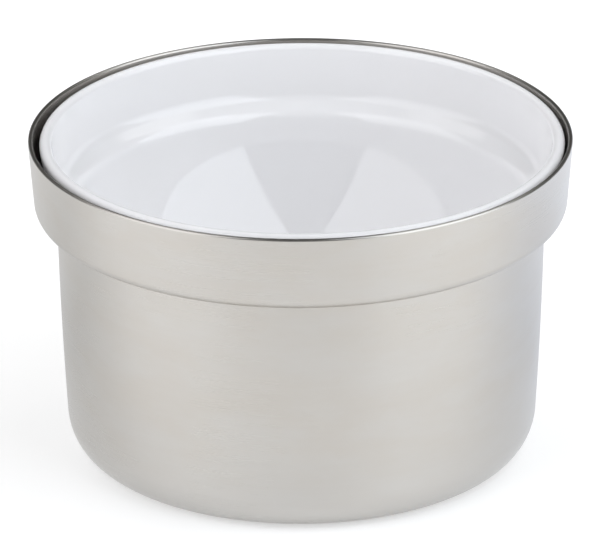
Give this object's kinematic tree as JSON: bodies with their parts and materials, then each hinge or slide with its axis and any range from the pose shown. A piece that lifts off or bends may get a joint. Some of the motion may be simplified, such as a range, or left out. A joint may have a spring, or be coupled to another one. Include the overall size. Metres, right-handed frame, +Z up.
{
  "type": "soup kettle",
  "caption": "Soup kettle: a round white glazed liner with a stepped rim, hanging in a satin stainless steel pot with a stepped collar. The liner lifts out.",
  "frame": {"origin": "on the axis, at the level of the flat ring under the pot that the kettle stands on", "axes": "+Z up along the axis that every piece is turned round; +X and +Y are any two directions across it, apart from the liner, which lies 0.7 mm towards +X on its loose seat"},
  "size_m": [0.238, 0.238, 0.1437],
  "materials": {
    "satin_steel": "satin, brushed round the axis",
    "silicone": "matte grey food-grade silicone",
    "white_glaze": "glossy white glaze"
  },
  "bodies": {
    "shell": {"pot": "satin_steel", "collar": "satin_steel"},
    "seat_ring": {"seat_ring": "silicone"},
    "liner": {"liner": "white_glaze"}
  },
  "joints": [
    {"name": "ring_lift", "type": "slide", "parent": "shell", "child": "seat_ring", "axis": [0, 0, 1], "range_m": [0, 0.06]},
    {"name": "liner_lift", "type": "slide", "parent": "seat_ring", "child": "liner", "axis": [0, 0, 1], "range_m": [0, 0.15]}
  ]
}
